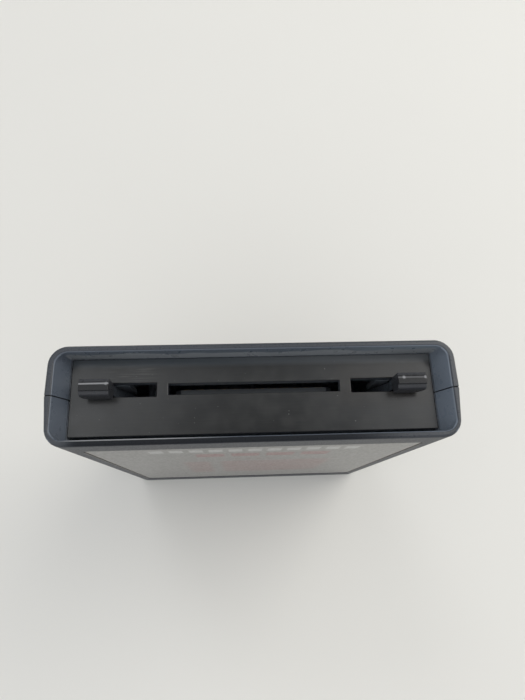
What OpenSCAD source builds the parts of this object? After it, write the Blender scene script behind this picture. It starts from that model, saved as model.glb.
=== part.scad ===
// Game cartridge that stands on its label end, with its connector mouth upward.
// +X is to the right, -Y is the front label's side, +Z is up, and z = 0 is the end that it stands on.

/* [Case] */
// Width across the parting seam
case_w = 81; // [78:0.5:90]
// Thickness from the front face to the back face
case_t = 19.8; // [19.4:0.1:24]
// Height from the label end to the rim of the mouth
case_h = 97.6; // [94:0.2:112]
// Radius of the four upright corners
corner_r = 3.8; // [2:0.1:5]
// How much each side leans in from the seam to the front face
front_draft = 0.5; // [0:0.1:0.8]
// How much each side leans in from the seam to the back face
back_draft = 0.1; // [0:0.1:0.8]
// Wall of the front and back faces
face_wall = 1.3; // [1:0.05:1.6]
// Wall of the two short sides
side_wall = 1.6; // [1.3:0.1:2.2]
// Wall of the label end
base_wall = 1.6; // [1.2:0.1:3]
// Rounding of the edge around the label end
base_round = 1.0; // [0.4:0.1:1.5]
// Rounding of the rim's outer edge
rim_round = 0.5; // [0.2:0.05:0.6]
// Chamfer of the rim's inner edge
rim_chamfer = 0.25; // [0.1:0.05:0.4]
// Depth of the groove where the two shells meet, on each shell
seam_groove = 0.14; // [0.05:0.01:0.2]

/* [Mouth] */
// Depth of the door's face below the rim
mouth_depth = 5.1; // [4.8:0.1:7]
// Land of the rim at the short sides
rim_land = 1.4; // [0.9:0.1:1.6]
// How far each short side slopes in from the rim
funnel_run = 1.9; // [1:0.1:2.2]
// Height of the slope on the short sides
funnel_h = 4.5; // [3.5:0.1:4.6]
// Radius of the mouth's corners at the rim
mouth_r = 2.6; // [1.5:0.1:2.8]
// Height of the straight ledge that stops the door, below the door's face
ledge_h = 2.1; // [1.8:0.1:2.6]

/* [Door] */
// Gap between the door and the case at the sides and the back
door_gap = 0.1; // [0.1:0.05:0.4]
// Gap between the door's front edge and the case
door_front_gap = 1.2; // [0.4:0.1:1.4]
// Thickness of the door's plate
door_t = 2.0; // [1.6:0.1:2.4]
// Thickness of the door's skirts
skirt_t = 1.0; // [0.8:0.1:1.4]
// Depth of the skirts below the plate
skirt_h = 7; // [4:0.5:9]
// How far the stop flange reaches past the plate
flange_reach = 1.5; // [1:0.1:1.6]
// Thickness of the stop flange
flange_t = 1.2; // [0.8:0.1:2]
// Gap between the flange and the ledge above it
stop_gap = 0.05; // [0.02:0.01:0.1]
// How far the door slides in
door_travel = 12; // [8:0.5:12]
// Width of the middle slot, which the board's edge passes through
board_slot_w = 35.2; // [34.6:0.1:36]
// Opening of the middle slot, front to back
board_slot_t = 2.3; // [2.1:0.1:2.5]
// Width of the bridge between the middle slot and each side slot
slot_bridge = 2.3; // [1.6:0.1:4]
// Opening of the side slots, front to back
side_slot_t = 2.9; // [2.5:0.1:3.2]

/* [Latches] */
// Height of the latch's pivot above the board's lower edge
pivot_rise = 2; // [0:0.5:4]
// Distance from the mouth's side to the arm's inner face
latch_inset = 8.7; // [8.2:0.1:9]
// Thickness of the arm, side to side
arm_t = 1.8; // [1.4:0.1:2]
// Width of the arm, front to back
arm_w = 2.1; // [1.6:0.1:2.3]
// Radius of the round foot
foot_r = 2.2; // [1.8:0.1:2.6]
// Gap between the foot and its socket
foot_gap = 0.05; // [0.03:0.01:0.1]
// Gap between the door's face and the latch head
head_gap = 0.3; // [0.2:0.05:0.6]
// Height of the latch head
head_h = 4.3; // [3.5:0.1:4.4]
// Length of the latch head at its top
head_l = 5.8; // [5:0.1:6.2]
// How far the head reaches past the outer end of its slot
head_lap = 0.9; // [0.5:0.1:1.5]
// How far the head reaches back past its arm
head_back = 0.3; // [0:0.1:0.4]
// Rounding of the head's lower outer corner
head_round = 2.4; // [0.5:0.1:3]
// How much further the head reaches to the front at its lower end
head_flare = 0.9; // [0.2:0.1:1.2]
// Width of the slope along the head's upper back edge
head_bevel = 1.0; // [0.2:0.1:1.2]
// Drop of that slope
head_bevel_drop = 0.4; // [0.2:0.1:0.8]
// Thickness of the flat lip above the head's bulging front
head_lip = 0.4; // [0.3:0.1:0.8]
// Width of the crossbar that locks the door, front to back
lock_bar_w = 4.9; // [4.6:0.1:5.2]
// Height of the crossbar
lock_bar_h = 1.8; // [1.2:0.1:2.4]
// How far the crossbar lies under the door's legs
lock_bite = 0.5; // [0.3:0.05:0.5]
// Play between the door's legs and the crossbar
lock_play = 2.4; // [2.3:0.1:3]
// How far the ramp for the console's post reaches in
ramp_reach = 2.6; // [1.5:0.1:3]
// Height of that ramp
ramp_h = 7; // [5:0.5:8]

/* [Board] */
// Place of the board's middle plane, behind the seam
board_y = 1.95; // [1.8:0.05:2.1]
// Thickness of the board
board_t = 1.6; // [1.4:0.1:1.7]
// Gap between each side of the board and the latch's arm
board_gap = 2.7; // [2.5:0.1:4]
// Width of the edge that meets the console
edge_w = 33.4; // [33:0.1:34]
// Height of the board from its lower edge to its shoulders
board_h = 33.5; // [32.5:0.5:36]
// Depth of the board's edge below the door's face
edge_depth = 4.5; // [3:0.1:6]
// Number of contacts on each side
contact_count = 12; // [8:1:12]
// Spacing of contacts and chip legs
pitch = 2.54; // [2.5:0.01:2.6]
// Width of one contact
contact_w = 1.8; // [1.2:0.1:2]
// Length of one contact
contact_l = 8.6; // [6:0.1:9]
// Thickness of the contact metal
contact_t = 0.1; // [0.06:0.01:0.12]

/* [Chip] */
// Number of legs in each row of the memory chip
leg_count = 12; // [8:1:12]
// Distance between the two rows of legs
row_gap = 15.24; // [12:0.02:15.24]
// Width of the chip's body across the rows
chip_d = 13.4; // [11:0.1:13.4]
// Thickness of the chip's body
chip_t = 3.8; // [3:0.1:4.2]
// Gap between the chip and the board
chip_gap = 0.6; // [0.4:0.1:1]
// Height of the chip's middle above the board's lower edge
chip_rise = 17; // [16:0.5:18]
// Radius of the disc capacitor
cap_r = 2.6; // [2:0.1:3]
// Thickness of the disc capacitor
cap_t = 2.2; // [1.6:0.1:2.4]

/* [Screw and springs] */
// Distance from the board's lower edge down to the case screw
screw_drop = 11; // [10:0.5:16]
// Radius of the screw's shank
screw_r = 1.45; // [1.2:0.05:1.6]
// Radius of the screw's head
screw_head_r = 2.7; // [2.4:0.1:3]
// Outer radius of a door spring
spring_r = 2.25; // [2:0.05:2.4]
// Radius of the spring's wire
wire_r = 0.22; // [0.18:0.01:0.26]
// Number of turns in a spring
spring_turns = 9; // [6:1:10]
// Length of a door spring with the door closed
spring_l = 24.5; // [24.5:0.5:28]
// Distance from the case's side wall to the spring's axis
spring_inset = 5.9; // [5:0.1:6.5]

/* [Labels] */
// Width of the front label
label_w = 69; // [60:0.5:71]
// Height of the front label's lower edge
label_bottom = 9; // [6:0.5:14]
// Distance from the rim to the front label's upper edge
label_drop = 7.6; // [6:0.1:12]
// Radius of the front label's corners
label_r = 1.5; // [0.5:0.1:3]
// Width of the end label
end_label_w = 66; // [56:0.5:68]
// Depth of the end label, front to back
end_label_d = 14.4; // [10:0.1:15]
// Thickness of a label
label_t = 0.15; // [0.1:0.01:0.2]
// Depth of the recess that holds a label
recess_d = 0.3; // [0.25:0.01:0.35]
// Gap between a label and the edge of its recess
label_gap = 0.2; // [0.1:0.05:0.6]

/* [Hidden] */
$fn = 32;
// Overshoot of a cut past the face that it opens
cut = 0.5;
// Thickness of the slices that a hull joins
slice = 0.01;
// The case's half sizes, inside and out
half_w = case_w / 2;
half_t = case_t / 2;
in_w = half_w - side_wall;
in_t = half_t - face_wall;
inner_r = 1.5;
// The mouth, from the rim down
door_z = case_h - mouth_depth;
ledge_z = door_z - ledge_h;
funnel_z = case_h - funnel_h;
rim_in = half_w - rim_land;
mouth_in = rim_in - funnel_run;
// The door
door_half_w = mouth_in - door_gap;
door_front = -in_t + door_front_gap;
door_back = in_t - door_gap;
plate_z = door_z - door_t;
flange_z = ledge_z - stop_gap - flange_t;
flange_half_w = door_half_w + flange_reach;
flange_half_t = in_t - inner_r;
// The latches' arms, and the board between them
arm_in = mouth_in - latch_inset;
head_tip = arm_in + head_l;
board_w = 2 * (arm_in - board_gap);
// The side slots, between the middle slot and the latch heads
side_slot_in = board_slot_w / 2 + slot_bridge;
side_slot_out = head_tip - head_lap;
// The latches' crossbars and the door's legs, which stop above them
leg_clear = 0.4;
leg_in = board_w / 2 + leg_clear;
leg_out = arm_in + lock_bite;
leg_t = 1.3;
leg_gap = 0.15;
bar_clear = 0.25;
bar_z = plate_z - door_travel - bar_clear;
leg_z = bar_z + lock_play;
pivot_x = arm_in + arm_t / 2;
arm_front = board_y - arm_w / 2;
arm_back = board_y + arm_w / 2;
head_z = door_z + head_gap;
ramp_drop = 1;
ramp_top = plate_z - ramp_drop;
socket_wall = 1.4;
// The board, whose shoulders stay below the open door
board_front = board_y - board_t / 2;
board_back = board_y + board_t / 2;
board_top = door_z - edge_depth;
shoulder_clear = 1;
shoulder_z = plate_z - door_travel - shoulder_clear;
board_bottom = shoulder_z - board_h;
pivot_z = board_bottom + pivot_rise;
screw_z = board_bottom - screw_drop;
chip_z = board_bottom + chip_rise;
edge_chamfer = 1.2;
contact_drop = 0.4;
pin_hole_r = 0.45;
peg_r = 1.0;
peg_gap = 0.1;
peg_inset = 3.8;
peg_x = board_w / 2 - peg_inset;
peg_z = board_bottom + 4;
peg_shoulder_r = 1.9;
peg_out = 0.4;
rest_r = 1.5;
rest_x = board_w / 2 - 1.8;
rest_z = plate_z - skirt_h - door_travel - rest_r - 0.7;
clamp_z = board_bottom + 9;
// The chip, its legs and the capacitor beside it
chip_end = 1.95;
chip_w = (leg_count - 1) * pitch + 2 * chip_end;
chip_y = board_front - chip_gap - chip_t;
leg_metal = 0.25;
leg_wide = 1.4;
leg_narrow = 0.5;
leg_stand = 0.1;
pin_out = 1.1;
solder_r = 0.9;
solder_tip_r = 0.4;
solder_h = 0.8;
notch_r = 1.0;
cap_x = rest_x - cap_t;
cap_lead_gap = pitch;
cap_lead_r = 0.25;
cap_lift = 0.8;
cap_y = board_front - cap_lift - cap_r;
// The springs and their seats
spring_x = in_w - spring_inset;
spring_seat_z = plate_z - spring_l;
spring_clear = 0.75;
spring_y = door_front + skirt_t + spring_clear + spring_r;
shelf_t = 1.6;
shelf_half_w = spring_r + 0.4;
spring_peg_gap = 0.45;
spring_peg_r = spring_r - 2 * wire_r - spring_peg_gap;
spring_peg_h = 3;
coil_steps = 14;
wire_sides = 6;
// The screw, its posts and the pegs that line up the shells
post_r = 3.9;
screw_head_h = 1.8;
screw_sink = 1.8;
screw_seat_y = -half_t + screw_sink + screw_head_h;
screw_end_gap = 3.4;
screw_tip_y = half_t - screw_end_gap;
pilot_spare = 1;
recess_w = 0.7;
recess_l = 3;
thread_bite = 0.25;
screw_gap = 0.25;
align_r = 1.2;
align_gap = 0.05;
align_post_r = 2.3;
align_len = 3;
align_spare = 0.6;
align_x = in_w - align_post_r - 2 * inner_r;
align_z = 11;
align_drop = 11;
align_spots = [[align_x, align_z], [align_x, spring_seat_z - align_drop]];
// The label recesses
label_top = case_h - label_drop;
label_mid = (label_top + label_bottom) / 2;
label_h = label_top - label_bottom;
end_label_r = 1.2;

// Points of an arc of radius r around the centre c, from angle a to angle b
function arc(c, r, a, b, n = 8) =
    [for (i = [0 : n]) c + r * [cos(a + (b - a) * i / n), sin(a + (b - a) * i / n)]];

// Outline of one shell on the +Y side of the seam, drawn in by an inset
function shell_points(draft, inset) =
    let (w = half_w - inset,
         f = half_w - draft - inset,
         t = half_t - inset,
         r = corner_r - inset,
         right = concat([[w - seam_groove, 0], [w, seam_groove]], arc([f - r, t - r], r, 0, 90)),
         left = [for (i = [len(right) - 1 : -1 : 0]) [-right[i][0], right[i][1]]])
    concat(right, left);

// Height and inset of each ring of the outer form, from the label end up to the rim
shell_rings = concat(
    [for (a = [0 : 30 : 90]) [base_round * (1 - cos(a)), base_round * (1 - sin(a))]],
    [for (a = [90 : -30 : 0]) [case_h - rim_round * (1 - cos(a)), rim_round * (1 - sin(a))]]);

// Solid outer form of one half, on the +Y side of the seam, as rings of points joined by quads
module half_case(draft) {
    count = len(shell_points(draft, 0));
    last = len(shell_rings) - 1;
    points = [for (ring = shell_rings, at = shell_points(draft, ring[1])) [at[0], at[1], ring[0]]];
    sides = [for (k = [0 : last - 1], i = [0 : count - 1])
        let (j = (i + 1) % count, low = k * count, high = low + count)
        [low + i, high + i, high + j, low + j]];
    bottom = [for (i = [0 : count - 1]) i];
    top = [for (i = [count - 1 : -1 : 0]) last * count + i];
    polyhedron(points, concat(sides, [bottom, top]), convexity = 4);
}

module rounded_rect(w, h, r) {
    for (sx = [-1, 1], sy = [-1, 1])
        translate([sx * (w / 2 - r), sy * (h / 2 - r)])
            circle(r);
    square([w - 2 * r, h], center = true);
    square([w, h - 2 * r], center = true);
}

// Bar along Y, centred at x and z
module bar_y(x, z, y0, y1, r) {
    translate([x, y0, z])
        rotate([-90, 0, 0])
            cylinder(h = y1 - y0, r = r);
}

// Extrudes an outline drawn in X and Z from y0 to y1
module slab_y(y0, y1) {
    translate([0, y1, 0])
        rotate([90, 0, 0])
            linear_extrude(y1 - y0)
                children();
}

// Block from one corner to the other
module block(a, b) {
    translate(a)
        cube(b - a);
}

module mouth_slice(z, grow) {
    translate([0, 0, z])
        linear_extrude(slice)
            rounded_rect(2 * (rim_in + grow), 2 * (in_t + grow), mouth_r + grow);
}

// Everything that is hollow inside the closed case
module case_hollow() {
    translate([0, 0, base_wall])
        linear_extrude(ledge_z - base_wall)
            rounded_rect(2 * in_w, 2 * in_t, inner_r);
    block([-mouth_in, -in_t, ledge_z - cut], [mouth_in, in_t, funnel_z]);
    hull() {
        block([-mouth_in, -in_t, funnel_z - slice], [mouth_in, in_t, funnel_z]);
        mouth_slice(case_h, 0);
    }
    hull() {
        mouth_slice(case_h - rim_chamfer, 0);
        mouth_slice(case_h, rim_chamfer);
    }
}

// Square bar on edge at the seam, from one point to another in X and Z
module seam_bar(a, b) {
    bar = seam_groove * sqrt(2);
    run = b - a;
    translate([a[0], 0, a[1]])
        rotate([0, -atan2(run[1], run[0]), 0])
            rotate([45, 0, 0])
                translate([0, -bar / 2, -bar / 2])
                    cube([norm(run), bar, bar]);
}

// Groove of the seam across the rim's lands, down the slopes and on to the door
module mouth_groove() {
    for (side = [-1, 1]) scale([side, 1, 1]) {
        seam_bar([rim_in, case_h], [half_w + cut, case_h]);
        seam_bar([mouth_in, funnel_z], [rim_in, case_h]);
        seam_bar([mouth_in, plate_z], [mouth_in, funnel_z]);
    }
}

module end_label_recess() {
    translate([0, 0, -cut])
        linear_extrude(recess_d + cut)
            rounded_rect(end_label_w + 2 * label_gap, end_label_d + 2 * label_gap, end_label_r);
}

module front_label_outline(grow) {
    translate([0, label_mid])
        rounded_rect(label_w + 2 * grow, label_h + 2 * grow, label_r);
}

// A shelf on the front wall with a peg that keeps the spring in place
module spring_shelf() {
    block([spring_x - shelf_half_w, -in_t - face_wall / 2, spring_seat_z - shelf_t],
          [spring_x + shelf_half_w, spring_y + shelf_half_w, spring_seat_z]);
    block([spring_x - shelf_t / 2, -in_t - face_wall / 2, spring_seat_z - 4 * shelf_t],
          [spring_x + shelf_t / 2, spring_y, spring_seat_z - shelf_t / 2]);
    translate([spring_x, spring_y, spring_seat_z - shelf_t / 2])
        cylinder(h = spring_peg_h + shelf_t / 2, r = spring_peg_r);
}

module front_shell() {
    color([0.13, 0.14, 0.15])
    difference() {
        union() {
            difference() {
                mirror([0, 1, 0])
                    half_case(front_draft);
                case_hollow();
            }
            bar_y(0, screw_z, -in_t - face_wall / 2, 0, post_r);
            for (side = [-1, 1]) {
                scale([side, 1, 1])
                    spring_shelf();
                for (spot = align_spots) {
                    bar_y(side * spot[0], spot[1], -in_t - face_wall / 2, 0, align_post_r);
                    bar_y(side * spot[0], spot[1], -align_len, align_len, align_r);
                }
                bar_y(side * rest_x, rest_z, -in_t - face_wall / 2, board_front, rest_r);
                bar_y(side * rest_x, clamp_z, -in_t - face_wall / 2, board_front, rest_r);
                bar_y(side * pivot_x, pivot_z, -in_t - face_wall / 2, arm_front - foot_gap, foot_r);
            }
        }
        bar_y(0, screw_z, -half_t - cut, screw_seat_y, screw_head_r + screw_gap);
        bar_y(0, screw_z, screw_seat_y - cut, cut, screw_r + screw_gap);
        slab_y(-half_t - cut, -half_t + recess_d)
            front_label_outline(label_gap);
        end_label_recess();
        mouth_groove();
    }
}

// A socket that the latch's foot turns in, open at the top for the arm
module latch_socket() {
    wall_r = foot_r + socket_wall;
    pocket_y = arm_back + foot_gap;
    difference() {
        bar_y(pivot_x, pivot_z, arm_front, in_t + face_wall / 2, wall_r);
        bar_y(pivot_x, pivot_z, -cut, pocket_y, foot_r + foot_gap);
        block([pivot_x - foot_r + foot_gap, -cut, pivot_z],
              [pivot_x + wall_r + cut, pocket_y, pivot_z + wall_r + cut]);
    }
}

module back_shell() {
    color([0.13, 0.14, 0.15])
    difference() {
        union() {
            difference() {
                half_case(back_draft);
                case_hollow();
            }
            bar_y(0, screw_z, 0, in_t + face_wall / 2, post_r);
            for (side = [-1, 1]) {
                scale([side, 1, 1])
                    latch_socket();
                for (spot = align_spots)
                    bar_y(side * spot[0], spot[1], 0, in_t + face_wall / 2, align_post_r);
                bar_y(side * peg_x, peg_z, board_back, in_t + face_wall / 2, peg_shoulder_r);
                bar_y(side * peg_x, peg_z, board_front - peg_out, in_t, peg_r);
                bar_y(side * rest_x, rest_z, board_back, in_t + face_wall / 2, rest_r);
            }
        }
        bar_y(0, screw_z, -cut, screw_tip_y + pilot_spare, screw_r - thread_bite);
        for (side = [-1, 1], spot = align_spots)
            bar_y(side * spot[0], spot[1], -cut, align_len + align_spare, align_r + align_gap);
        end_label_recess();
        mouth_groove();
    }
}

// One leg of the door beside a side slot, chamfered where it meets the latch's crossbar
module door_leg() {
    slab_y(0, leg_t)
        polygon([[leg_in, leg_z], [leg_out - lock_bite, leg_z], [leg_out, leg_z + lock_bite],
                 [leg_out, plate_z + cut], [leg_in, plate_z + cut]]);
}

module dust_door() {
    slot_edge = side_slot_t / 2 + leg_gap;
    color([0.17, 0.17, 0.17])
    difference() {
        union() {
            block([-door_half_w, door_front, plate_z], [door_half_w, door_back, door_z]);
            difference() {
                block([-door_half_w, door_front, plate_z - skirt_h],
                      [door_half_w, door_back, plate_z]);
                block([-door_half_w + skirt_t, door_front + skirt_t, plate_z - skirt_h - cut],
                      [door_half_w - skirt_t, door_back - skirt_t, plate_z]);
            }
            for (side = [-1, 1]) scale([side, 1, 1]) {
                block([door_half_w - skirt_t, -flange_half_t, flange_z],
                      [flange_half_w, flange_half_t, flange_z + flange_t]);
                translate([0, board_y - slot_edge - leg_t, 0])
                    door_leg();
                translate([0, board_y + slot_edge, 0])
                    door_leg();
                translate([spring_x, spring_y, plate_z - spring_peg_h])
                    cylinder(h = spring_peg_h + cut, r = spring_peg_r);
            }
        }
        block([-board_slot_w / 2, board_y - board_slot_t / 2, plate_z - cut],
              [board_slot_w / 2, board_y + board_slot_t / 2, door_z + cut]);
        for (side = [-1, 1]) scale([side, 1, 1])
            block([side_slot_in, board_y - side_slot_t / 2, plate_z - cut],
                  [side_slot_out, board_y + side_slot_t / 2, door_z + cut]);
    }
}

// The part of a latch that stands above the door and overhangs outward
module latch_head() {
    top = head_z + head_h;
    back = arm_back + head_back;
    front = arm_front - head_flare;
    bulge_z = top - head_lip - head_flare;
    intersection() {
        slab_y(front, back)
            polygon(concat(arc([head_tip - head_round, head_z + head_round], head_round, -90, 0),
                           [[head_tip, top], [arm_in, top], [arm_in, head_z]]));
        translate([arm_in - cut, 0, 0])
            rotate([90, 0, 90])
                linear_extrude(head_l + 2 * cut)
                    polygon(concat([[front, head_z], [back, head_z], [back, top - head_bevel_drop],
                                    [back - head_bevel, top], [arm_front, top]],
                                   arc([arm_front, bulge_z], head_flare, 90, 180)));
    }
}

module latch() {
    arm_out = arm_in + arm_t;
    ramp_in = arm_in - ramp_reach;
    ramp_end = ramp_top - ramp_h;
    color([0.15, 0.15, 0.15]) {
        latch_head();
        slab_y(arm_front, arm_back)
            polygon([[arm_in, pivot_z], [arm_out, pivot_z], [arm_out, head_z], [arm_in, head_z],
                     [arm_in, ramp_top], [ramp_in, ramp_end], [ramp_in, ramp_end - arm_t],
                     [arm_in, ramp_end - arm_t - ramp_reach]]);
        bar_y(pivot_x, pivot_z, arm_front, arm_back, foot_r);
        slab_y(board_y - lock_bar_w / 2, board_y + lock_bar_w / 2)
            polygon([[arm_in + lock_bite, bar_z], [arm_out, bar_z], [arm_out, bar_z - lock_bar_h],
                     [arm_in, bar_z - lock_bar_h], [arm_in, bar_z - lock_bite]]);
    }
}

module left_latch() {
    mirror([1, 0, 0])
        latch();
}

module right_latch() {
    latch();
}

// Wire swept along a helix, as rings of points joined by quads
module coil(height) {
    r = spring_r - wire_r;
    rings = spring_turns * coil_steps;
    points = [for (i = [0 : rings], j = [0 : wire_sides - 1])
        let (a = 360 * i / coil_steps,
             b = 360 * j / wire_sides,
             out = r + wire_r * cos(b),
             up = wire_r + (height - 2 * wire_r) * i / rings)
        [out * cos(a), out * sin(a), up + wire_r * sin(b)]];
    sides = [for (i = [0 : rings - 1], j = [0 : wire_sides - 1])
        let (k = (j + 1) % wire_sides)
        [i * wire_sides + j, (i + 1) * wire_sides + j, (i + 1) * wire_sides + k, i * wire_sides + k]];
    first = [for (j = [0 : wire_sides - 1]) j];
    last = [for (j = [wire_sides - 1 : -1 : 0]) rings * wire_sides + j];
    polyhedron(points, concat(sides, [first, last]), convexity = 10);
}

module door_spring() {
    color([0.6, 0.61, 0.62])
        translate([spring_x, spring_y, spring_seat_z])
            coil(plate_z - spring_seat_z);
}

module left_door_spring() {
    mirror([1, 0, 0])
        door_spring();
}

module right_door_spring() {
    door_spring();
}

// Places of the chip's legs and of the capacitor's leads, as [x, z]
leg_spots = [for (i = [0 : leg_count - 1], s = [-1, 1])
    [(i - (leg_count - 1) / 2) * pitch, chip_z + s * row_gap / 2]];
lead_spots = [for (s = [-1, 1]) [cap_x, chip_z + s * cap_lead_gap]];

module circuit_board() {
    color([0.36, 0.33, 0.16])
    difference() {
        slab_y(board_front, board_back)
            polygon([[-board_w / 2, board_bottom], [board_w / 2, board_bottom],
                     [board_w / 2, shoulder_z], [edge_w / 2, shoulder_z],
                     [edge_w / 2, board_top - edge_chamfer], [edge_w / 2 - edge_chamfer, board_top],
                     [-edge_w / 2 + edge_chamfer, board_top],
                     [-edge_w / 2, board_top - edge_chamfer], [-edge_w / 2, shoulder_z],
                     [-board_w / 2, shoulder_z]]);
        for (spot = concat(leg_spots, lead_spots))
            bar_y(spot[0], spot[1], board_front - cut, board_back + cut, pin_hole_r);
        for (side = [-1, 1])
            bar_y(side * peg_x, peg_z, board_front - cut, board_back + cut, peg_r + peg_gap);
    }
}

module contact_row(y0) {
    color([0.83, 0.66, 0.3])
    for (i = [0 : contact_count - 1])
        translate([(i - (contact_count - 1) / 2) * pitch - contact_w / 2, y0,
                   board_top - contact_drop - contact_l])
            cube([contact_w, contact_t, contact_l]);
}

module front_contacts() {
    contact_row(board_front - contact_t);
}

module back_contacts() {
    contact_row(board_back);
}

module rom_chip() {
    color([0.1, 0.1, 0.1])
    difference() {
        block([-chip_w / 2, chip_y, chip_z - chip_d / 2],
              [chip_w / 2, chip_y + chip_t, chip_z + chip_d / 2]);
        bar_y(-chip_w / 2, chip_z, chip_y - cut, chip_y + cut, notch_r);
    }
}

// One leg: out of the chip's side, toward the board, and on as a narrow pin through its hole
module chip_leg() {
    mid_y = chip_y + chip_t / 2;
    out_z = row_gap / 2 + leg_metal / 2;
    seat_y = board_front - leg_stand;
    translate([-leg_wide / 2, 0, 0]) {
        block([0, mid_y - leg_metal / 2, chip_d / 2], [leg_wide, mid_y + leg_metal / 2, out_z]);
        block([0, mid_y - leg_metal / 2, out_z - leg_metal], [leg_wide, seat_y, out_z]);
    }
    block([-leg_narrow / 2, seat_y - cut, out_z - leg_metal],
          [leg_narrow / 2, board_back + pin_out, out_z]);
}

module rom_chip_legs() {
    color([0.72, 0.73, 0.74])
    for (i = [0 : leg_count - 1], s = [-1, 1])
        translate([(i - (leg_count - 1) / 2) * pitch, 0, chip_z])
            scale([1, 1, s])
                chip_leg();
}

module solder_joints() {
    color([0.66, 0.67, 0.68])
    for (spot = concat(leg_spots, lead_spots))
        translate([spot[0], board_back, spot[1]])
            rotate([-90, 0, 0])
                cylinder(h = solder_h, r1 = solder_r, r2 = solder_tip_r, $fn = 16);
}

module capacitor() {
    edge = cap_t / 2;
    color([0.75, 0.48, 0.2])
    translate([cap_x, cap_y, chip_z])
        rotate([0, 90, 0])
            rotate_extrude()
                intersection() {
                    union() {
                        translate([cap_r - edge, 0])
                            circle(edge);
                        translate([0, -edge])
                            square([cap_r - edge, cap_t]);
                    }
                    translate([0, -cap_t])
                        square([cap_r + cut, 2 * cap_t]);
                }
}

module capacitor_leads() {
    color([0.72, 0.73, 0.74])
    for (s = [-1, 1]) {
        bar_y(cap_x, chip_z + s * cap_lead_gap, cap_y, board_back + pin_out, cap_lead_r);
        translate([cap_x, cap_y, chip_z + s * (cap_lead_gap / 2 + cap_lead_r)])
            cube([2 * cap_lead_r, 2 * cap_lead_r, cap_lead_gap], center = true);
    }
}

module assembly_screw() {
    head_y = screw_seat_y - screw_head_h;
    color([0.62, 0.62, 0.63])
    difference() {
        union() {
            bar_y(0, screw_z, head_y, screw_seat_y, screw_head_r);
            bar_y(0, screw_z, screw_seat_y - cut, screw_tip_y, screw_r);
        }
        for (turn = [0, 90])
            translate([0, head_y, screw_z])
                rotate([0, turn, 0])
                    cube([recess_l, screw_head_h, recess_w], center = true);
    }
}

module front_label() {
    color([0.62, 0.62, 0.61])
    slab_y(-half_t + recess_d - label_t, -half_t + recess_d)
        front_label_outline(0);
}

module end_label() {
    color([0.62, 0.62, 0.61])
    translate([0, 0, recess_d - label_t])
        linear_extrude(label_t)
            rounded_rect(end_label_w, end_label_d, end_label_r);
}

front_shell();
back_shell();
dust_door();
left_latch();
right_latch();
left_door_spring();
right_door_spring();
circuit_board();
front_contacts();
back_contacts();
rom_chip();
rom_chip_legs();
solder_joints();
capacitor();
capacitor_leads();
assembly_screw();
front_label();
end_label();
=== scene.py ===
"""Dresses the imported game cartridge, and sets its floor, light and camera."""

import math

import bpy
import numpy as np
from mathutils import Matrix, Vector


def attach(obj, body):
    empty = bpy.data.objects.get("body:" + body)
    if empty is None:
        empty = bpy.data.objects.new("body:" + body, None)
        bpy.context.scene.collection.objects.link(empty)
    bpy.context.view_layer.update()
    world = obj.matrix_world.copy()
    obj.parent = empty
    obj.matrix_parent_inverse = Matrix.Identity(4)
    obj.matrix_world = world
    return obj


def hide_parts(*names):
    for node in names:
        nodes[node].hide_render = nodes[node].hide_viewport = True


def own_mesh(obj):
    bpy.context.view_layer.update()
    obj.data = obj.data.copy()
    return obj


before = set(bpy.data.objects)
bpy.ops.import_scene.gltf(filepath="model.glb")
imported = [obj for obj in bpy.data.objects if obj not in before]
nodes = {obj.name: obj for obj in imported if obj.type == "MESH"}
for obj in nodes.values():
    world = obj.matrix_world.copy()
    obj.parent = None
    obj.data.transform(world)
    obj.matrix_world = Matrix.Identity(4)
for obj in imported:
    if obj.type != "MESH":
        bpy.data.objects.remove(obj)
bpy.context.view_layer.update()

MM = 0.001


# Shader graphs. Places and lengths in them are in millimetres in the row frame.


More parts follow.
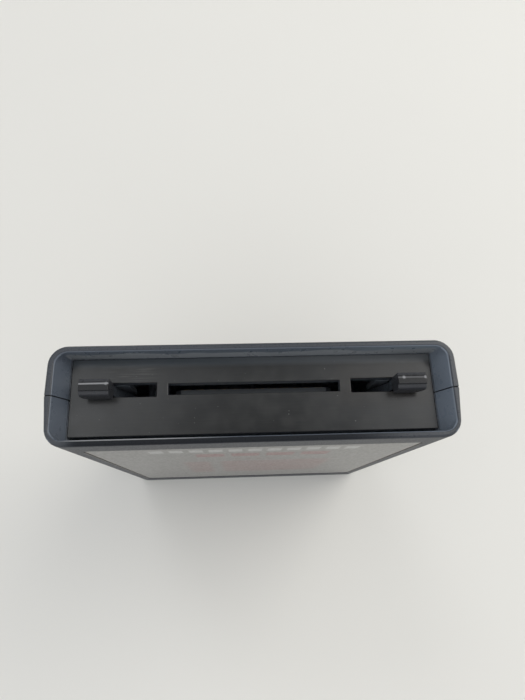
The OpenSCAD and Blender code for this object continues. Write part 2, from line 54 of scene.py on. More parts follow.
class Graph:
    """A material's node tree, with short calls for the nodes that the finishes use."""

    def __init__(self, name):
        self.material = bpy.data.materials.new(name)
        self.material.use_nodes = True
        self.tree = self.material.node_tree
        self.tree.nodes.clear()
        self.shader = self.node("BsdfPrincipled")
        out = self.node("OutputMaterial")
        self.tree.links.new(self.shader.outputs[0], out.inputs["Surface"])
        coords = self.node("TexCoord")
        self.place = self.vector("SCALE", coords.outputs["Object"], scale=1 / MM)
        split = self.node("SeparateXYZ")
        self.tree.links.new(self.place, split.inputs[0])
        self.x, self.y, self.z = split.outputs

    def node(self, kind, **settings):
        made = self.tree.nodes.new("ShaderNode" + kind)
        for name, value in settings.items():
            setattr(made, name, value)
        return made

    def put(self, socket, value):
        """Links a socket to another, or sets its value."""
        if isinstance(value, bpy.types.NodeSocket):
            self.tree.links.new(value, socket)
        else:
            socket.default_value = value

    def math(self, operation, *values, clamp=False):
        made = self.node("Math", operation=operation, use_clamp=clamp)
        for socket, value in zip(made.inputs, values):
            self.put(socket, value)
        return made.outputs[0]

    def vector(self, operation, *values, scale=None):
        made = self.node("VectorMath", operation=operation)
        for socket, value in zip(made.inputs, values):
            self.put(socket, value)
        if scale is not None:
            self.put(made.inputs["Scale"], scale)
        return made.outputs["Value" if operation == "DISTANCE" else "Vector"]

    def noise(self, per_mm, detail=2.0, stretch=(1, 1, 1), shift=(0, 0, 0), rough=0.5):
        """Noise with this many features in a millimetre, between about 0 and 1."""
        moved = self.vector("MULTIPLY_ADD", self.place, stretch, shift)
        made = self.node("TexNoise")
        self.put(made.inputs["Vector"], moved)
        made.inputs["Scale"].default_value = per_mm
        made.inputs["Detail"].default_value = detail
        made.inputs["Roughness"].default_value = rough
        return made.outputs["Fac"]

    def ramp(self, value, low, high, to_low=0.0, to_high=1.0):
        """A smooth step from to_low to to_high as value goes from low to high."""
        made = self.node("MapRange", interpolation_type="SMOOTHSTEP")
        for name, number in zip(("Value", "From Min", "From Max", "To Min", "To Max"),
                                (value, low, high, to_low, to_high)):
            self.put(made.inputs[name], number)
        return made.outputs[0]

    def spread(self, noise, low, high):
        """A value between low and high from the middle part of a noise."""
        return self.ramp(noise, 0.3, 0.7, low, high)

    def both(self, *masks):
        """The product of several masks."""
        made = masks[0]
        for mask in masks[1:]:
            made = self.math("MULTIPLY", made, mask)
        return made

    def off(self, value, middle):
        """How far a value is from the middle, either way."""
        return self.math("ABSOLUTE", self.math("SUBTRACT", value, middle))

    def spot(self, centre, outer, inner):
        """1 within the inner distance of a point, and 0 beyond the outer one."""
        away = self.vector("DISTANCE", self.place, centre)
        return self.ramp(away, outer, inner)

    def blend(self, share, first, second):
        made = self.node("Mix", data_type="RGBA")
        self.put(made.inputs["Factor"], share)
        for socket, colour in ((made.inputs[6], first), (made.inputs[7], second)):
            self.put(socket, colour if isinstance(colour, bpy.types.NodeSocket) else (*colour, 1))
        return made.outputs[2]

    def paint(self, colour, mask, share, tint):
        """Covers a share of the colour with a tint where the mask is 1."""
        return self.blend(self.math("MULTIPLY", mask, share), colour, tint)

    def specks(self, per_mm, radius, share):
        """Round spots of about this radius in a share of the cells: 1 in a spot and 0 outside."""
        cells = self.node("TexVoronoi")
        self.put(cells.inputs["Vector"], self.place)
        cells.inputs["Scale"].default_value = per_mm
        near = self.ramp(cells.outputs["Distance"], radius * per_mm, radius * per_mm * 0.5)
        split = self.node("SeparateColor")
        self.put(split.inputs[0], cells.outputs["Color"])
        chosen = self.math("LESS_THAN", split.outputs[0], share)
        return self.math("MULTIPLY", near, chosen)

    def bump(self, height, distance, strength=1.0, below=None):
        """Adds a bump of this height field on top of the one below it."""
        made = self.node("Bump")
        self.put(made.inputs["Height"], height)
        made.inputs["Distance"].default_value = distance * MM
        self.put(made.inputs["Strength"], strength)
        if below is not None:
            self.put(made.inputs["Normal"], below)
        return made.outputs[0]

    def finish(self, **inputs):
        for name, value in inputs.items():
            self.put(self.shader.inputs[name.replace("_", " ")], value)
        return self.material


# Each limit below is a pair: where a patch's paint is still 0, and where it is whole.

CASE = {
    "inside": {"x": (39.25, 39.10), "y": (8.90, 8.80), "z": (97.58, 97.48)},
    "rim": (97.2, 97.5),
    "rim_left": (-38.0, -33.0),
    # painted shade: the front rim's top darkened, and made less shiny
    "dull_painted_shade": {"y": (-8.4, -8.7), "right": (36.0, 14.0), "tint": (0.0110, 0.0120, 0.0145)},
    "outer": ((0.0250, 0.0295, 0.0385), (0.0310, 0.0360, 0.0455)),
    # painted reflection: the mouth's walls much lighter than the outside, more so on the right
    "inner": ((0.0930, 0.1090, 0.1370), (0.1080, 0.1260, 0.1540)),
    "inner_right_painted_light": {"x": (10.0, 37.0), "tint": (0.1520, 0.1780, 0.2160)},
    "back": {"y": (8.3, 8.5), "z": (97.3, 97.0), "x": (12.0, 30.0)},
    "back_painted_light_tints": ((0.1150, 0.1350, 0.1650), (0.1900, 0.2250, 0.2650)),
    "wavy_painted_reflection": {"level": (95.9, 94.9), "wave": 0.7, "tint": (0.2800, 0.2950, 0.3100)},
    "under_door_painted_light": {"top": (92.7, 92.4), "bottom": (40.0, 60.0), "tint": (0.3000, 0.3300, 0.3700)},
    "rim_painted_highlight": {"y": -8.68, "width": (0.22, 0.10), "right": (-2.0, -20.0),
               "tint": (0.3600, 0.3650, 0.3750)},
    "recess_painted_light": {"y": (-9.0, -9.2), "x_in": (34.3, 34.5), "x_out": (35.2, 34.7),
              "bottom": (9.5, 12.0), "top": (89.5, 87.0), "tint": (0.1500, 0.1450, 0.1350)},
    "seam": {"width": (0.16, 0.08), "foot": (0.5, 0.6), "tint": (0.004, 0.004, 0.005)},
    "dust": (0.30, 0.30, 0.29),
    "rough": {"outside": (0.44, 0.60), "rim": (0.26, 0.36), "inside": (0.26, 0.38)},
    "specular": {"plain": 0.5, "dull_painted_shade": 0.12},
    "ior": 1.54,
}


def case_plastic():
    """Blue-black ABS: a spark-eroded grain outside, and smooth moulded walls in the mouth."""
    g = Graph("case_plastic")
    across, through = g.math("ABSOLUTE", g.x), g.math("ABSOLUTE", g.y)
    inside = g.both(g.ramp(across, *CASE["inside"]["x"]), g.ramp(through, *CASE["inside"]["y"]),
                    g.ramp(g.z, *CASE["inside"]["z"]))
    outside = g.math("SUBTRACT", 1.0, inside)
    rim = g.ramp(g.z, *CASE["rim"])
    rim_left = g.ramp(g.x, *CASE["rim_left"])
    grain = g.noise(per_mm=3.2, detail=3.0, rough=0.65)

    # Outside, with painted shade darkening the glossy rim along its front, where it is also made
    # dull
    outer = g.blend(g.noise(per_mm=0.05), *CASE["outer"])
    dull_painted_shade = g.both(rim, g.ramp(g.y, *CASE["dull_painted_shade"]["y"]), g.ramp(g.x, *CASE["dull_painted_shade"]["right"]),
                  rim_left)
    outer = g.paint(outer, dull_painted_shade, 0.9, CASE["dull_painted_shade"]["tint"])

    # The mouth, painted lighter than the outside as painted reflection; its back wall with painted
    # light and a wavy painted reflection; painted light on the ledges under the door
    inner = g.blend(g.noise(per_mm=0.09), *CASE["inner"])
    inner = g.blend(g.ramp(g.x, *CASE["inner_right_painted_light"]["x"]), inner, CASE["inner_right_painted_light"]["tint"])
    colour = g.blend(inside, outer, inner)
    back = g.both(g.ramp(g.y, *CASE["back"]["y"]), inside, g.ramp(g.z, *CASE["back"]["z"]))
    # painted light: the back wall lighter, more so on the right
    back_painted_light = g.blend(g.ramp(g.x, *CASE["back"]["x"]), *CASE["back_painted_light_tints"])
    colour = g.blend(back, colour, back_painted_light)
    # painted reflection: a wavy pale band low on the back wall
    wavy = g.noise(per_mm=0.10, detail=1.0, stretch=(1, 0, 0), rough=0.4)
    wave = CASE["wavy_painted_reflection"]["wave"]
    level = g.math("SUBTRACT", g.z, g.spread(wavy, -wave, wave))
    wavy_painted_reflection = g.both(g.ramp(level, *CASE["wavy_painted_reflection"]["level"]), back)
    colour = g.paint(colour, wavy_painted_reflection, 0.9, CASE["wavy_painted_reflection"]["tint"])
    # painted light: pale surfaces inside the case under the door's level
    under_door_painted_light = g.both(g.ramp(g.z, *CASE["under_door_painted_light"]["top"]), g.ramp(g.z, *CASE["under_door_painted_light"]["bottom"]), inside)
    colour = g.blend(under_door_painted_light, colour, CASE["under_door_painted_light"]["tint"])

    # A painted highlight along the front rim, painted light beside the label, painted shade in the
    # seam, and dust
    rim_painted_highlight = g.both(g.ramp(g.off(g.y, CASE["rim_painted_highlight"]["y"]), *CASE["rim_painted_highlight"]["width"]), rim,
                    g.ramp(g.x, *CASE["rim_painted_highlight"]["right"]), rim_left)
    colour = g.paint(colour, rim_painted_highlight, 0.9, CASE["rim_painted_highlight"]["tint"])
    # painted light: pale strips in the recess gaps beside the label, over their shade
    recess_painted_light = g.both(g.ramp(g.y, *CASE["recess_painted_light"]["y"]), g.ramp(across, *CASE["recess_painted_light"]["x_in"]),
                   g.ramp(across, *CASE["recess_painted_light"]["x_out"]), g.ramp(g.z, *CASE["recess_painted_light"]["bottom"]),
                   g.ramp(g.z, *CASE["recess_painted_light"]["top"]))
    colour = g.paint(colour, recess_painted_light, 0.8, CASE["recess_painted_light"]["tint"])
    # painted shade: the groove between the halves darkened
    seam = g.both(g.ramp(through, *CASE["seam"]["width"]), g.ramp(g.z, *CASE["seam"]["foot"]))
    colour = g.paint(colour, seam, 0.9, CASE["seam"]["tint"])
    dust = g.specks(per_mm=0.45, radius=0.07, share=0.16)
    colour = g.paint(colour, dust, 0.35, CASE["dust"])

    # Roughness of each zone, and the two grains over the soft waves of the mouth's walls
    rough_rim = g.both(g.spread(grain, *CASE["rough"]["rim"]), rim)
    rough_out = g.both(g.spread(grain, *CASE["rough"]["outside"]), g.math("SUBTRACT", 1.0, rim))
    rough_out = g.math("ADD", rough_rim, rough_out)
    rough_in = g.spread(g.noise(per_mm=0.5, detail=3.0), *CASE["rough"]["inside"])
    rough = g.math("ADD", g.both(rough_out, outside), g.both(rough_in, inside))
    soft = g.bump(g.noise(per_mm=0.16, detail=1.0, stretch=(1, 1, 1.6)), distance=0.3,
                  strength=g.math("MULTIPLY", inside, 0.35))
    coarse = g.math("SUBTRACT", outside, g.math("MULTIPLY", rim, 0.45), clamp=True)
    normal = g.bump(grain, distance=0.07, strength=g.math("MULTIPLY", coarse, 0.95), below=soft)
    normal = g.bump(g.noise(per_mm=9.0), distance=0.02, strength=g.math("MULTIPLY", coarse, 0.4),
                    below=normal)
    specular = CASE["specular"]
    shine = g.ramp(g.both(dull_painted_shade, outside), 0.0, 1.0, specular["plain"], specular["dull_painted_shade"])
    return g.finish(Base_Color=colour, Roughness=rough, Normal=normal, IOR=CASE["ior"],
                    Specular_IOR_Level=shine)


DOOR = {
    "plain": ((0.0180, 0.0184, 0.0190), (0.0210, 0.0212, 0.0212)),
    "left": {"x": (-27.0, -36.0), "tint": (0.0370, 0.0375, 0.0380)},
    "warm": {"x": (14.0, 20.0), "y": (-4.0, 0.0), "tint": (0.0230, 0.0195, 0.0165)},
    "cloud": (0.036, 0.035, 0.032),
    "scuff": {"centre": (-25.0, 6.2, 0.0), "reach": (7.0, 2.0), "tint": (0.15, 0.15, 0.14)},
    "dusty": {"left": (2.0, 8.0), "right": (27.0, 21.0), "tint": (0.32, 0.32, 0.30)},
    "sheen": {"y": (6.2, 7.5), "x": (-22.0, 30.0)},
    "sheen_tints": ((0.0480, 0.0580, 0.0680), (0.1080, 0.1150, 0.1220)),
    "sides": {"z": (92.35, 92.1), "tint": (0.070, 0.080, 0.094)},
    "deep_painted_light": {"z": (90.3, 90.0), "y": (0.0, 0.4), "tint": (0.300, 0.330, 0.370)},
    "rough": (0.20, 0.27),
    "ior": 1.5,
}


def door_plastic():
    """Dark warm grey plastic with a dull sheen, light scuffs and a little dust."""
    g = Graph("door_plastic")
    tone = g.noise(per_mm=0.09, detail=3.0)
    colour = g.blend(g.ramp(tone, 0.2, 0.8), *DOOR["plain"])
    # painted light: the door lighter towards its left edge, by the left latch
    left = g.ramp(g.x, *DOOR["left"]["x"])
    colour = g.paint(colour, left, 0.8, DOOR["left"]["tint"])
    warm = g.both(g.ramp(g.x, *DOOR["warm"]["x"]), g.ramp(g.y, *DOOR["warm"]["y"]))
    colour = g.paint(colour, warm, 0.5, DOOR["warm"]["tint"])
    cloud = g.noise(per_mm=0.35, shift=(5, 0, 0), rough=0.4)
    colour = g.blend(g.ramp(cloud, 0.40, 0.80, to_high=0.20), colour, DOOR["cloud"])

    # Scratches round the worn place, and dust that lies thickest right of the middle
    scratch = g.noise(per_mm=1.6, detail=3.0, stretch=(0.10, 2.2, 1.0))
    flat_place = g.vector("MULTIPLY", g.place, (1, 1, 0))
    away = g.vector("DISTANCE", flat_place, DOOR["scuff"]["centre"])
    near = g.ramp(away, *DOOR["scuff"]["reach"], to_low=0.06)
    scuff = g.both(g.ramp(scratch, 0.50, 0.66), near)
    colour = g.paint(colour, scuff, 0.25, DOOR["scuff"]["tint"])
    dusty = g.both(g.ramp(g.x, *DOOR["dusty"]["left"]), g.ramp(g.x, *DOOR["dusty"]["right"]))
    share = g.math("ADD", g.math("MULTIPLY", dusty, 0.5), 0.25)
    dust = g.both(g.specks(per_mm=0.9, radius=0.10, share=0.4), share)
    colour = g.blend(dust, colour, DOOR["dusty"]["tint"])

    # Painted reflection: a paler strip along the back wall. Painted light on the sides and legs
    # under the plate, palest low down in the back half
    sheen = g.blend(g.ramp(g.x, *DOOR["sheen"]["x"]), *DOOR["sheen_tints"])
    colour = g.paint(colour, g.ramp(g.y, *DOOR["sheen"]["y"]), 0.8, sheen)
    # painted light: the door's sides and legs under the plate paler, palest low down
    colour = g.blend(g.ramp(g.z, *DOOR["sides"]["z"]), colour, DOOR["sides"]["tint"])
    deep_painted_light = g.both(g.ramp(g.z, *DOOR["deep_painted_light"]["z"]), g.ramp(g.y, *DOOR["deep_painted_light"]["y"]))
    colour = g.blend(deep_painted_light, colour, DOOR["deep_painted_light"]["tint"])

    ripple = g.bump(g.noise(per_mm=0.12, detail=1.0), distance=0.15, strength=0.35)
    normal = g.bump(g.noise(per_mm=4.5, detail=3.0), distance=0.02, strength=0.35, below=ripple)
    return g.finish(Base_Color=colour, Roughness=g.spread(cloud, *DOOR["rough"]), Normal=normal,
                    IOR=DOOR["ior"])


LATCH = {
    "plain": ((0.034, 0.035, 0.040), (0.044, 0.045, 0.050)),
    "top": {"z": (96.85, 97.0), "tint": (0.0100, 0.0100, 0.0115)},
    "below": {"z": (92.6, 91.6), "tint": (0.060, 0.068, 0.080)},
    "wear_and_painted_highlight": {"y": 2.3, "width": (0.22, 0.12), "x": (20.0, -20.0), "tint": (0.230, 0.230, 0.240)},
    "glints": ((-29.0, 2.3, 97.1), (34.1, 2.3, 97.1), (29.7, 2.3, 97.1)),
    "glint_tint": (0.24, 0.24, 0.25),
    "dust": (0.3, 0.3, 0.29),
    "rough": (0.26, 0.38),
    "specular": 0.32,
    "ior": 1.5,
}


def latch_plastic():
    """Black plastic of the latches, with a painted highlight along the head's upper back edge."""
    g = Graph("latch_plastic")
    colour = g.blend(g.noise(per_mm=0.5, detail=3.0), *LATCH["plain"])
    top = g.ramp(g.z, *LATCH["top"]["z"])
    # painted shade: the head's top face darkened
    colour = g.blend(top, colour, LATCH["top"]["tint"])
    # painted light: the arms below the door's level paler
    colour = g.blend(g.ramp(g.z, *LATCH["below"]["z"]), colour, LATCH["below"]["tint"])
    # painted highlight: a bright line along the head's upper back edge
    wear_and_painted_highlight = g.both(g.ramp(g.off(g.y, LATCH["wear_and_painted_highlight"]["y"]), *LATCH["wear_and_painted_highlight"]["width"]), top,
                  g.ramp(g.x, *LATCH["wear_and_painted_highlight"]["x"], to_low=0.35))
    colour = g.blend(wear_and_painted_highlight, colour, LATCH["wear_and_painted_highlight"]["tint"])
    # painted glints: three bright spots on the heads' top edges
    for place in LATCH["glints"]:
        colour = g.blend(g.spot(place, outer=0.45, inner=0.15), colour, LATCH["glint_tint"])
    dust = g.specks(per_mm=1.2, radius=0.05, share=0.2)
    colour = g.paint(colour, dust, 0.3, LATCH["dust"])
    rough = g.spread(g.noise(per_mm=1.3, detail=3.0), *LATCH["rough"])
    normal = g.bump(g.noise(per_mm=3.0, detail=3.0), distance=0.03, strength=0.4)
    return g.finish(Base_Color=colour, Roughness=rough, Normal=normal, IOR=LATCH["ior"],
                    Specular_IOR_Level=LATCH["specular"])


def metal(name, light, dark, rough, stretch=(1, 1, 1)):
    """Bare or tinned metal with a drawn or plated grain."""
    g = Graph(name)
    grain = g.noise(per_mm=2.0, detail=3.0, stretch=stretch)
    return g.finish(Base_Color=g.blend(grain, dark, light), Metallic=1.0,
                    Roughness=g.spread(grain, rough, rough + 0.14),
                    Normal=g.bump(grain, distance=0.02, strength=0.3))


def board_laminate():
    """Dull blue-grey laminate with the glass weave just showing."""
    g = Graph("board_laminate")
    threads = []
    for direction in ("X", "Z"):
        wave = g.node("TexWave", wave_type="BANDS", bands_direction=direction)
        g.put(wave.inputs["Vector"], g.place)
        wave.inputs["Scale"].default_value = 1.4
        wave.inputs["Distortion"].default_value = 0.6
        threads.append(wave.outputs["Fac"])
    cloth = g.both(*threads)
    tone = g.noise(per_mm=0.2, detail=3.0)
    colour = g.blend(tone, (0.052, 0.058, 0.066), (0.066, 0.073, 0.082))
    colour = g.paint(colour, cloth, 0.20, (0.130, 0.135, 0.130))
    return g.finish(Base_Color=colour, Roughness=g.ramp(cloth, 0.0, 1.0, 0.34, 0.46),
                    Normal=g.bump(cloth, distance=0.02, strength=0.4))


def chip_plastic():
    """Matt black epoxy with a fine sandy skin."""
    g = Graph("chip_plastic")
    sand = g.noise(per_mm=7.0, detail=3.0)
    colour = g.blend(g.noise(per_mm=0.4), (0.014, 0.014, 0.015), (0.024, 0.024, 0.024))
    return g.finish(Base_Color=colour, Roughness=g.spread(sand, 0.55, 0.72),
                    Normal=g.bump(sand, distance=0.03, strength=0.5))


def capacitor_coat():
    """Glossy ochre dip coat."""
    g = Graph("capacitor_coat")
    lumps = g.noise(per_mm=0.8)
    colour = g.blend(lumps, (0.46, 0.20, 0.035), (0.60, 0.29, 0.06))
    return g.finish(Base_Color=colour, Roughness=g.spread(lumps, 0.22, 0.34),
                    Normal=g.bump(lumps, distance=0.2, strength=0.4))


LABEL = {
    "paper": ((0.212, 0.206, 0.196), (0.246, 0.239, 0.228)),
    "front": -9.0,
    # Rows of bars: shift in x, pace, share of the pace that is printed, box in x and z
    "rows": {"dashes": (2.1, 4.2, 0.7, (-23.1, 23.1, 82.0, 86.2)),
             "blocks": (-2.0, 8.0, 0.8, (-14.0, 18.0, 72.5, 78.5)),
             "short": (0.0, 2.5, 0.5, (-5.0, 5.0, 65.0, 68.0))},
    "field": {"box": (-17.5, 20.0, 29.0, 62.0), "soft": 1.2},
    "gap": {"box": (-11.0, -8.0, 20.0, 70.0), "soft": 1.0},
    "edge": (33.9, 34.3),
    # Share of the paper that each print covers, and its colour
    "inks": {"dashes": (1.0, (0.42, 0.42, 0.41)), "blocks": (0.75, (0.26, 0.105, 0.10)),
             "short": (0.6, (0.22, 0.150, 0.145)), "field": (0.5, (0.26, 0.105, 0.10)),
             "wear_and_painted_highlight": (0.5, (0.30, 0.27, 0.235))},
    "ink_share": 0.85,
    "speck": (0.12, 0.12, 0.115),
    "rough": (0.32, 0.44),
}


def label_paper():
    """Coated silver-grey paper with plain printed bars and bands that say nothing."""
    g = Graph("label_paper")

    def band(low, high, socket, soft):
        rise = g.ramp(socket, low - soft, low + soft)
        fall = g.ramp(socket, high - soft, high + soft, 1.0, 0.0)
        return g.both(rise, fall)

    def box(x_low, x_high, z_low, z_high, soft=0.4):
        return g.both(band(x_low, x_high, g.x, soft), band(z_low, z_high, g.z, soft))

    def row(shift, pace, share, limits):
        """Bars at this pace inside a box."""
        along = g.math("MULTIPLY", g.math("ADD", g.x, shift), 1 / pace)
        bars = band(0.5 - share / 2, 0.5 + share / 2, g.math("FRACT", along), soft=0.04)
        return g.both(bars, box(*limits))

    masks = {name: row(*values) for name, values in LABEL["rows"].items()}
    field, gap = (box(*LABEL[name]["box"], LABEL[name]["soft"]) for name in ("field", "gap"))
    fade = g.ramp(g.noise(per_mm=0.15), 0.25, 0.75, to_low=0.6)
    masks["field"] = g.both(g.math("SUBTRACT", field, gap, clamp=True), fade)
    masks["wear_and_painted_highlight"] = g.ramp(g.math("ABSOLUTE", g.x), *LABEL["edge"])

    colour = g.blend(g.noise(per_mm=0.06), *LABEL["paper"])
    front = g.math("LESS_THAN", g.y, LABEL["front"])
    inked = g.math("MULTIPLY", front, LABEL["ink_share"])
    for name, (share, ink) in LABEL["inks"].items():
        colour = g.paint(colour, g.math("MULTIPLY", masks[name], share), inked, ink)
    specks = g.specks(per_mm=0.5, radius=0.08, share=0.12)
    colour = g.paint(colour, specks, 0.4, LABEL["speck"])
    fibre = g.noise(per_mm=1.6, detail=4.0, stretch=(1, 1, 0.6))
    return g.finish(Base_Color=colour, Roughness=g.spread(fibre, *LABEL["rough"]),
                    Normal=g.bump(fibre, distance=0.03, strength=0.25))


FINISHES = {
    "case_plastic": case_plastic(),
    "door_plastic": door_plastic(),
    "latch_plastic": latch_plastic(),
    "spring_steel": metal("spring_steel", (0.58, 0.58, 0.57), (0.42, 0.42, 0.42), 0.24),
    "board_laminate": board_laminate(),
    "contact_metal": metal("contact_metal", (0.95, 0.70, 0.30), (0.78, 0.55, 0.22), 0.22,
                           (3, 1, 0.15)),
    "chip_plastic": chip_plastic(),
    "lead_metal": metal("lead_metal", (0.66, 0.66, 0.65), (0.50, 0.50, 0.50), 0.30),
    "solder": metal("solder", (0.68, 0.69, 0.70), (0.52, 0.53, 0.54), 0.26),
    "capacitor_coat": capacitor_coat(),
    "screw_steel": metal("screw_steel", (0.60, 0.60, 0.60), (0.44, 0.44, 0.44), 0.28),
    "label_paper": label_paper(),
}


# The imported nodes: softened edges and finishes

# Width of the rounded edge on each node
EDGE = {
    "front_shell": 0.08, "back_shell": 0.08, "dust_door": 0.14, "left_latch": 0.12,
    "right_latch": 0.12, "circuit_board": 0.08, "rom_chip": 0.12, "assembly_screw": 0.12,
    "front_label": 0.03, "end_label": 0.03,
}
WELD = 0.002
FLAT_ANGLE = 0.6  # facets that turn less than this are one face
SHARP_ANGLE = 32  # edges that turn more than this are rounded


def soften(node, width):
    """Joins the node's flat facets, rounds its sharp edges and smooths its shading."""
    weld = node.modifiers.new("weld", "WELD")
    weld.merge_threshold = WELD * MM
    flat = node.modifiers.new("flat", "DECIMATE")
    flat.decimate_type = "DISSOLVE"
    flat.angle_limit = math.radians(FLAT_ANGLE)
    split = node.modifiers.new("split", "TRIANGULATE")
    split.ngon_method = "BEAUTY"
    split.min_vertices = 5
    bevel = node.modifiers.new("edge", "BEVEL")
    bevel.width = width * MM
    bevel.segments = 2
    bevel.limit_method = "ANGLE"
    bevel.angle_limit = math.radians(SHARP_ANGLE)
    bevel.use_clamp_overlap = False
    bevel.loop_slide = False
    bevel.harden_normals = False
    smooth = node.modifiers.new("shading", "WEIGHTED_NORMAL")
    smooth.keep_sharp = True


for name, node in nodes.items():
    for slot in node.material_slots:
        slot.material = FINISHES[slot.material.name.split(".")[0]]
    if name in EDGE:
        soften(node, EDGE[name])


# The door springs, as round wire with closed end turns

SPRING = {
    "axis": (33.0, -3.4), "low": 66.0, "high": 90.5, "radius": 2.25, "wire": 0.22,
    "turns": 10, "steps": 28, "sides": 10, "end_pace": 2.2, "shut": 12.5 / 24.5,
}


def spring_mesh(name, side):
    """Wire swept round the spring's axis. The first and last turns lie flat."""
    turns, steps, sides, wire = (SPRING[key] for key in ("turns", "steps", "sides", "wire"))
    low, high = SPRING["low"] + wire, SPRING["high"] - wire
    ring = SPRING["radius"] - wire
    count = turns * steps
    share = np.linspace(0, 1, count + 1)
    closed = SPRING["end_pace"] * wire
    pace = np.where((share < 1 / turns) | (share > 1 - 1 / turns), closed,
                    (high - low - 2 * closed) / (turns - 2))
    rise = np.concatenate([[0], np.cumsum((pace[1:] + pace[:-1]) / 2 / steps)])
    rise *= (high - low) / rise[-1]
    turn = 2 * np.pi * turns * share
    verts, faces = [], []
    for i in range(count + 1):
        out = np.array([math.cos(turn[i]), math.sin(turn[i]), 0.0])
        centre = np.array([side * SPRING["axis"][0], SPRING["axis"][1], low + rise[i]])
        for j in range(sides):
            angle = 2 * math.pi * j / sides
            point = centre + out * (ring + wire * math.cos(angle))
            point[2] += wire * math.sin(angle)
            verts.append(point * MM)
    for i in range(count):
        for j in range(sides):
            k = (j + 1) % sides
            faces.append((i * sides + j, i * sides + k, (i + 1) * sides + k, (i + 1) * sides + j))
    faces.append(tuple(range(sides - 1, -1, -1)))
    faces.append(tuple(count * sides + j for j in range(sides)))
    mesh = bpy.data.meshes.new(name)
    mesh.from_pydata([tuple(v) for v in verts], [], faces)
    mesh.polygons.foreach_set("use_smooth", [True] * len(mesh.polygons))
    mesh.materials.append(FINISHES["spring_steel"])
    mesh.validate()
    obj = bpy.data.objects.new(name, mesh)
    bpy.context.scene.collection.objects.link(obj)
    return obj


for side, word in ((-1, "left"), (1, "right")):
    spring = spring_mesh(word + "_spring_wire", side)
    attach(spring, "case")
    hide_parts(word + "_door_spring")
    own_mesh(spring)


# The floor

FLOOR = {"half": 3.0, "colour": (0.780, 0.762, 0.722), "mottle": 0.985, "rough": 0.8}


def floor_material():
    """Pale paper with a faint mottle."""
    g = Graph("floor_paper")
    darker = tuple(FLOOR["mottle"] * value for value in FLOOR["colour"])
    colour = g.blend(g.noise(per_mm=0.02, detail=3.0), FLOOR["colour"], darker)
    return g.finish(Base_Color=colour, Roughness=FLOOR["rough"])


def make_floor():
    half = FLOOR["half"]
    mesh = bpy.data.meshes.new("floor")
    mesh.from_pydata([(-half, -half, 0), (half, -half, 0), (half, half, 0), (-half, half, 0)],
                     [], [(0, 1, 2, 3)])
    mesh.materials.append(floor_material())
    floor = bpy.data.objects.new("floor", mesh)
    bpy.context.scene.collection.objects.link(floor)


make_floor()


# The light

SKY = {
    "low": 0.50, "rise": 1.35, "power": 4.0, "lean": {"X": -0.25, "Y": -0.50},
    "colour": (0.95, 0.975, 1.0), "shown": (0.88, 0.875, 0.865),
}
# Places in that sky: direction, angles from its middle where it starts and where it is whole,
# and level
PATCHES = (
    ((0.05, 0.14, 0.99), 16.0, 6.0, 0.18),
    ((0.00, -0.30, 0.95), 30.0, 14.0, 0.35),
    ((-0.28, 0.62, 0.73), 12.0, 7.0, 5.0),
    ((0.42, 0.38, 0.83), 24.0, 8.0, 1.5),
)
LAMP = {
    "place": (0.75, 0.45, 0.80), "target": (0, 0, 0.03), "size": 0.9, "power": 5.2,
    "colour": (1.0, 0.97, 0.90),
}


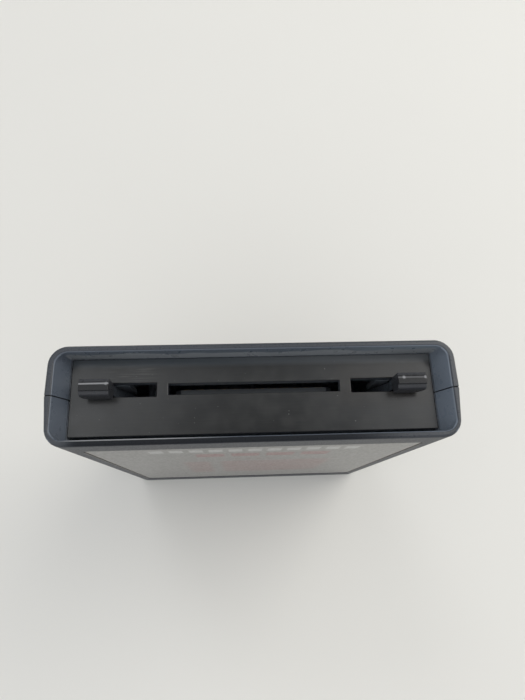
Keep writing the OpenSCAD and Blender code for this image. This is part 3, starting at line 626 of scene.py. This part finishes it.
def make_world():
    """A soft white room: a bright ceiling that is dim straight above, as over a leaning viewer."""
    world = bpy.data.worlds.new("studio")
    bpy.context.scene.world = world
    world.use_nodes = True
    tree = world.node_tree
    tree.nodes.clear()

    def node(kind, **settings):
        made = tree.nodes.new("ShaderNode" + kind)
        for name, value in settings.items():
            setattr(made, name, value)
        return made

    def math_node(operation, *values):
        made = node("Math", operation=operation)
        for socket, value in zip(made.inputs, values):
            if isinstance(value, bpy.types.NodeSocket):
                tree.links.new(value, socket)
            else:
                socket.default_value = value
        return made.outputs[0]

    coords = node("TexCoord")
    split = node("SeparateXYZ")
    tree.links.new(coords.outputs["Generated"], split.inputs[0])
    high = math_node("POWER", math_node("ABSOLUTE", split.outputs["Z"]), SKY["power"])
    level = math_node("ADD", math_node("MULTIPLY", high, SKY["rise"]), SKY["low"])
    for axis, amount in SKY["lean"].items():
        lean = math_node("MULTIPLY", split.outputs[axis], amount)
        level = math_node("MULTIPLY", level, math_node("ADD", lean, 1.0))
    for direction, outer, inner, share in PATCHES:
        toward = node("VectorMath", operation="DOT_PRODUCT")
        tree.links.new(coords.outputs["Generated"], toward.inputs[0])
        toward.inputs[1].default_value = Vector(direction).normalized()
        patch = node("MapRange", interpolation_type="SMOOTHSTEP")
        tree.links.new(toward.outputs["Value"], patch.inputs["Value"])
        patch.inputs["From Min"].default_value = math.cos(math.radians(outer))
        patch.inputs["From Max"].default_value = math.cos(math.radians(inner))
        patch.inputs["To Min"].default_value = 1.0
        patch.inputs["To Max"].default_value = share
        level = math_node("MULTIPLY", level, patch.outputs[0])
    light = node("Background")
    light.inputs["Color"].default_value = (*SKY["colour"], 1)
    tree.links.new(level, light.inputs["Strength"])
    shown = node("Background")
    shown.inputs["Color"].default_value = (*SKY["shown"], 1)
    path = node("LightPath")
    mix = node("MixShader")
    out = node("OutputWorld")
    tree.links.new(path.outputs["Is Camera Ray"], mix.inputs["Fac"])
    tree.links.new(light.outputs[0], mix.inputs[1])
    tree.links.new(shown.outputs[0], mix.inputs[2])
    tree.links.new(mix.outputs[0], out.inputs["Surface"])


def make_lamp():
    """The window, as one square lamp."""
    lamp = bpy.data.lights.new("window", "AREA")
    lamp.shape = "RECTANGLE"
    lamp.size = lamp.size_y = LAMP["size"]
    lamp.energy = LAMP["power"]
    lamp.color = LAMP["colour"]
    obj = bpy.data.objects.new("window", lamp)
    place, target = Vector(LAMP["place"]), Vector(LAMP["target"])
    obj.location = place
    obj.rotation_mode = "QUATERNION"
    obj.rotation_quaternion = (target - place).to_track_quat("-Z", "Y")
    bpy.context.scene.collection.objects.link(obj)


make_world()
make_lamp()


# The camera, from the photograph's perspective

CAMERA = {
    "place": (-3.465, -22.733, 195.755),
    "right": (0.998628, -0.031996, 0.041465),
    "down": (-0.017980, -0.953020, -0.302373),
    "forward": (0.049192, 0.301212, -0.952287),
    "lens": 26.5966,
    "sensor": 36.0,
    "clip": (0.01, 20.0),
}


def make_camera():
    camera = bpy.data.cameras.new("camera")
    camera.sensor_width = CAMERA["sensor"]
    camera.lens = CAMERA["lens"]
    camera.clip_start, camera.clip_end = CAMERA["clip"]
    obj = bpy.data.objects.new("camera", camera)
    right, down, forward = (Vector(CAMERA[k]).normalized() for k in ("right", "down", "forward"))
    columns = (right, -down, -forward, Vector(CAMERA["place"]) * MM)
    turned = Matrix.Identity(4)
    for i, column in enumerate(columns):
        for j in range(3):
            turned[j][i] = column[j]
    obj.matrix_world = turned
    bpy.context.scene.collection.objects.link(obj)
    bpy.context.scene.camera = obj


make_camera()
bpy.context.scene.view_settings.view_transform = "Standard"
